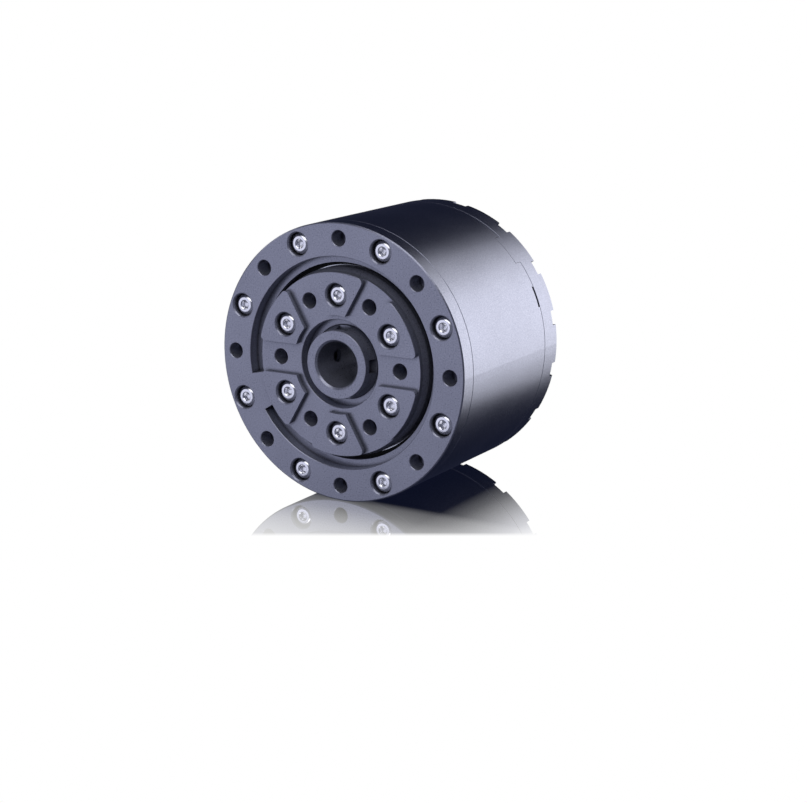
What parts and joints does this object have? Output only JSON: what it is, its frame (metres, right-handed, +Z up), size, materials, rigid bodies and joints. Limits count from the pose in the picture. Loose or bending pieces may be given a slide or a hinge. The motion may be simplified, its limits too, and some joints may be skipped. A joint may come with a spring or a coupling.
{
  "type": "robot joint actuator",
  "caption": "Cylindrical hollow-shaft robot joint with a stepped output flange inside a bolted front ring, a smooth barrel and a castellated rear cover.",
  "frame": {"origin": "centre of the front ring's mounting face, on the shaft axis", "axes": "-Y along the shaft axis out of the output face, +Z up, +X to the right seen from the front"},
  "size_m": [0.09, 0.0659, 0.09],
  "materials": {
    "barrel_anodised": "satin fine-blasted anodised",
    "face_anodised": "matte fine-blasted anodised",
    "screw_steel": "bright plated",
    "inner_screw_steel": "black oxide",
    "bearing_steel": "ground",
    "gear_steel": "machined",
    "cage_brass": "turned",
    "magnet_nickel": "nickel plated",
    "core_lamination": "varnished stack",
    "coil_copper": "enamelled winding",
    "inner_aluminium": "turned",
    "encoder_disc": "printed scale, bare",
    "circuit_board": "solder mask",
    "black_package": "moulded",
    "connector_nylon": "moulded",
    "seal_rubber": "matte"
  },
  "bodies": {
    "stator": {"housing": "barrel_anodised", "front_ring": "face_anodised", "front_ring_screws": "screw_steel", "bearing_shield": "face_anodised", "crossed_roller_outer_ring": "bearing_steel", "circular_spline": "gear_steel", "circular_spline_screws": "inner_screw_steel", "stator_core": "core_lamination", "stator_coils": "coil_copper", "end_bell": "inner_aluminium", "end_bell_screws": "inner_screw_steel", "rear_bearing_outer_ring": "bearing_steel", "driver_board": "circuit_board", "board_components": "black_package", "board_spacers": "cage_brass", "board_screws": "inner_screw_steel", "power_connector": "connector_nylon", "data_connectors": "connector_nylon", "rear_cover": "barrel_anodised", "rear_cover_screws": "screw_steel", "rear_seal": "seal_rubber"},
    "output": {"output_flange": "face_anodised", "output_flange_screws": "screw_steel", "hollow_shaft": "face_anodised", "crossed_roller_inner_ring": "bearing_steel", "flexspline": "gear_steel", "flexspline_screws": "inner_screw_steel", "front_bearing_outer_ring": "bearing_steel", "output_encoder_disc": "encoder_disc"},
    "rotor": {"rotor_shaft": "gear_steel", "rotor_magnets": "magnet_nickel", "rotor_spacer": "gear_steel", "rotor_nut": "gear_steel", "rotor_encoder_disc": "encoder_disc", "wave_generator_plug": "gear_steel", "wave_generator_key": "gear_steel", "wave_bearing_inner_race": "bearing_steel", "wave_bearing_balls": "bearing_steel", "wave_bearing_outer_race": "bearing_steel", "front_bearing_inner_ring": "bearing_steel", "rear_bearing_inner_ring": "bearing_steel"},
    "roller_train": {"crossed_rollers": "bearing_steel", "crossed_roller_cage": "cage_brass"},
    "front_ball_train": {"front_bearing_balls": "bearing_steel"},
    "rear_ball_train": {"rear_bearing_balls": "bearing_steel"}
  },
  "joints": [
    {"name": "output_spin", "type": "hinge", "parent": "stator", "child": "output", "pos_m": [0, 0, 0], "axis": [0, -1, 0], "continuous": true},
    {"name": "rotor_spin", "type": "hinge", "parent": "stator", "child": "rotor", "pos_m": [0, 0.03, 0], "axis": [0, -1, 0], "continuous": true, "deforming": ["flexspline", "wave_bearing_outer_race", "wave_bearing_balls"]},
    {"name": "roller_orbit", "type": "hinge", "parent": "stator", "child": "roller_train", "pos_m": [0, 0.0124, 0], "axis": [0, -1, 0], "continuous": true},
    {"name": "front_ball_orbit", "type": "hinge", "parent": "stator", "child": "front_ball_train", "pos_m": [0, 0.013, 0], "axis": [0, -1, 0], "continuous": true},
    {"name": "rear_ball_orbit", "type": "hinge", "parent": "stator", "child": "rear_ball_train", "pos_m": [0, 0.0469, 0], "axis": [0, -1, 0], "continuous": true}
  ],
  "couplings": [
    {"joint": "rotor_spin", "follows": "output_spin", "ratio": -50},
    {"joint": "roller_orbit", "follows": "output_spin", "ratio": 0.47958},
    {"joint": "front_ball_orbit", "follows": "output_spin", "ratio": -21.374},
    {"joint": "rear_ball_orbit", "follows": "output_spin", "ratio": -21.935}
  ]
}
